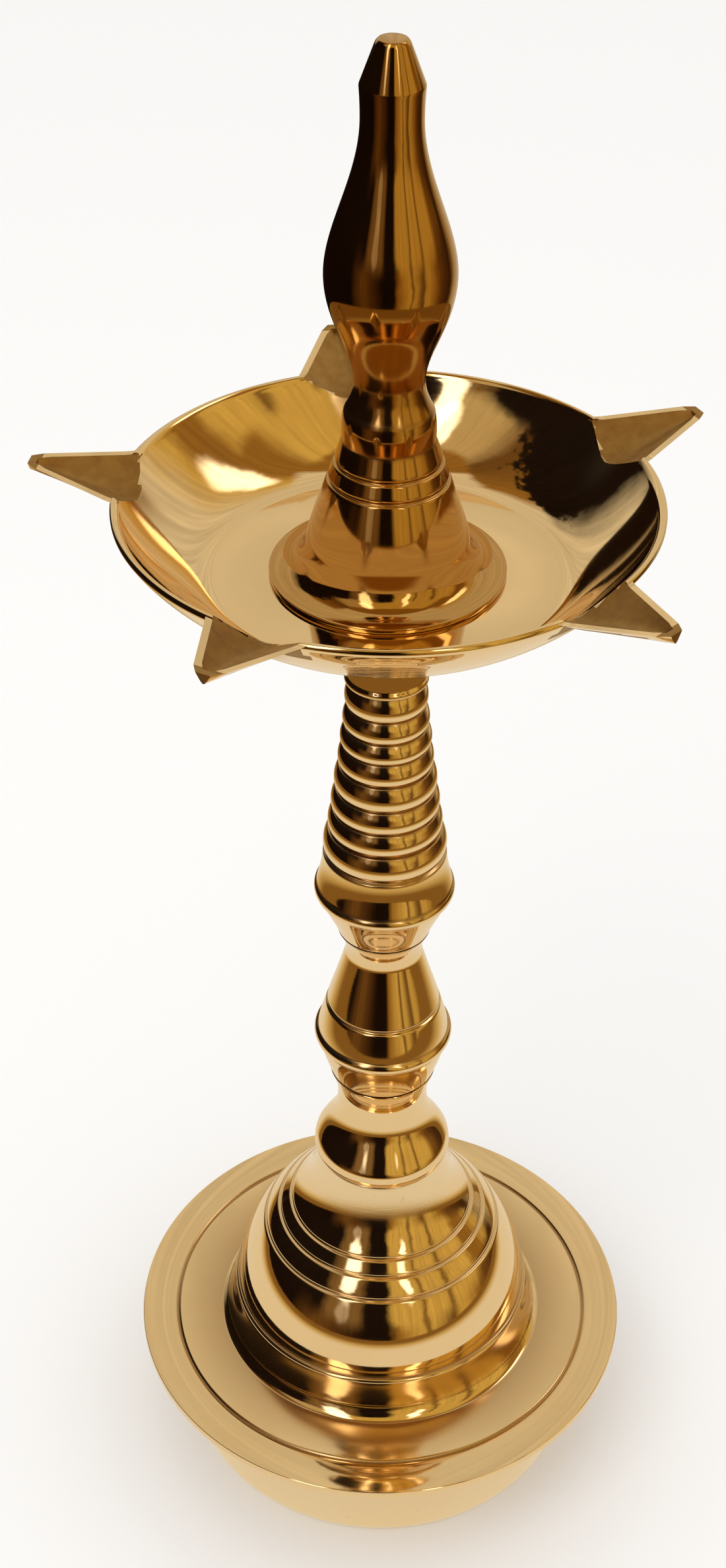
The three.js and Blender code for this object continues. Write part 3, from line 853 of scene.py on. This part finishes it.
def world():
    """The room that the brass mirrors: dark on the left, gold on the right, pale behind the lamp,
    with a few bright windows. Anything but a reflection sees plain white."""
    scene.world = bpy.data.worlds.new("room")
    scene.world.use_nodes = True
    n = Nodes(scene.world.node_tree)
    view = n.add("ShaderNodeTexCoord").outputs["Generated"]
    x, y, z = n.add("ShaderNodeSeparateXYZ", {0: view}).outputs
    exact = n.math("MULTIPLY", n.math("ARCTAN2", x, n.math("MULTIPLY", y, -1.0)), 180 / math.pi)
    rise = n.math("MULTIPLY", n.math("ARCSINE", z), 180 / math.pi)
    wobble = n.math("MULTIPLY", n.math("SUBTRACT", n.noise(view, 3.1, 4.0), 0.5), 16.0)
    bearing = n.math("ADD", exact, wobble)
    place = n.math("ADD", n.math("DIVIDE", bearing, 360.0), 0.5)
    uneven = n.math("ADD", rise, wobble)

    low, middle = n.ramp(place, LOW_BANDS), n.ramp(place, MIDDLE_BANDS)
    colour = n.mix(n.smooth(uneven, -5.0, 7.0), low, middle)
    colour = n.mix(n.smooth(uneven, 38.0, 46.0), colour, n.ramp(place, HIGH_BANDS))
    forward = n.math("MULTIPLY", n.math("ARCTAN2", n.math("MULTIPLY", y, -1.0), z), 180 / math.pi)
    overhead = n.mix(n.smooth(forward, -2.0, 1.0), rgba(CREAM), rgba(AMBER))
    colour = n.mix(n.smooth(uneven, 64.0, 68.0), colour, overhead)
    ragged = n.math("MULTIPLY", n.math("SUBTRACT", n.noise(view, 16.0, 4.0, 0.7), 0.5), 30.0)
    shade = glow(n, n.math("ADD", exact, ragged), n.math("ADD", rise, ragged), SHADE)
    colour = n.mix(n.smooth(shade, 0.25, 0.6), colour, rgba(BLACK))
    for window in WINDOWS:
        light = glow(n, bearing, rise, window)
        lit = n.add("ShaderNodeMix", {0: light, 6: colour, 7: rgba(WINDOW_COLOUR)},
                    data_type="RGBA", blend_type="ADD", clamp_factor=False)
        colour = lit.outputs[2]
    streaks = n.add("ShaderNodeCombineXYZ", {
        0: n.math("MULTIPLY", exact, 0.09),
        1: n.math("MULTIPLY", rise, 0.004),
    })
    fine = n.remap(n.noise(streaks.outputs[0], 5.0, 4.0, 0.7), 0.3, 0.7, 0.72, 1.18)
    colour = n.add("ShaderNodeVectorMath", {0: colour, 3: fine}, operation="SCALE").outputs[0]
    seen = n.add("ShaderNodeLightPath").outputs["Is Glossy Ray"]
    background = n.tree.nodes["Background"]
    n.tree.links.new(n.mix(seen, rgba((1, 1, 1)), colour), background.inputs["Color"])


def floor_reflection_glow():
    """A glowing disc seen only in reflections, painting the floor round the lamp as the brass
    mirrors it.
    """
    bpy.ops.mesh.primitive_circle_add(vertices=96, radius=0.36, fill_type="NGON")
    piece = bpy.context.object
    piece.name = "floor_reflection_glow"
    piece.location = AXIS - Vector((0, 0, 0.0003))
    n = Material("floor_reflection_glow")
    n.shader.inputs["Base Color"].default_value = (0, 0, 0, 1)
    n.shader.inputs["Specular IOR Level"].default_value = 0.0
    n.shader.inputs["Emission Strength"].default_value = 1.0
    place = n.add("ShaderNodeTexCoord").outputs["Object"]
    away = n.add("ShaderNodeVectorMath", {0: place}, operation="LENGTH").outputs["Value"]
    floor_colour = n.mix(n.smooth(away, 0.16, 0.22), rgba(NEAR_FLOOR), rgba(MIDDLE_FLOOR))
    floor_colour = n.mix(n.smooth(away, 0.20, 0.27), floor_colour, rgba(FAR_FLOOR))
    n.link(floor_colour, "Emission Color")
    piece.data.materials.append(n.material)
    piece.visible_camera = False
    piece.visible_diffuse = False
    piece.visible_shadow = False


def camera():
    data = bpy.data.cameras.new("camera")
    data.lens = LENS_MM
    data.sensor_width = SENSOR_MM
    data.sensor_fit = "AUTO"
    data.clip_start = 0.01
    data.dof.use_dof = False
    piece = bpy.data.objects.new("camera", data)
    scene.collection.objects.link(piece)
    forward = Vector((math.sin(CAMERA_YAW) * math.cos(CAMERA_PITCH),
                      math.cos(CAMERA_YAW) * math.cos(CAMERA_PITCH), -math.sin(CAMERA_PITCH)))
    level = Vector((math.cos(CAMERA_YAW), -math.sin(CAMERA_YAW), 0))
    upright = level.cross(forward)
    right = math.cos(CAMERA_ROLL) * level + math.sin(CAMERA_ROLL) * upright
    up = math.cos(CAMERA_ROLL) * upright - math.sin(CAMERA_ROLL) * level
    place = AXIS + Vector((0, -CAMERA_BACK, PLATE_HEIGHT * MM + CAMERA_ABOVE_PLATE))
    rows = [(right[i], up[i], -forward[i], place[i]) for i in range(3)]
    piece.matrix_world = Matrix((*rows, (0, 0, 0, 1)))
    scene.camera = piece


# ------------------------------------------------------------------ build

camera()
world()
floor()
floor_reflection_glow()
softbox("key", math.radians(-34), math.radians(52), 0.9, 0.5, 0.5, 1.6)

polished = brass("polished_brass", BRASS)
warm = brass("finial_brass", FINIAL_BRASS, polish=0.06)
cut = brass("cut_brass", CUT_BRASS, polish=0.26, marks=0.12)

base_piece(polished)
collar_piece(polished)
knop_piece(polished)
column_piece(polished)
dish_piece(polished)
finial_piece(warm)
washer_piece(fibre())
for name, node, body, pitch in (
    ("base_screw", "base_stud", "knop_thread", STEM_PITCH),
    ("column_screw", "column_stud", "column_thread", STEM_PITCH),
    ("finial_screw", "finial_stud", "finial_thread", FINIAL_PITCH),
):
    stand_in(thread(name, node, pitch), node, body, cut)

scene.view_settings.view_transform = "Standard"
scene.view_settings.look = "None"
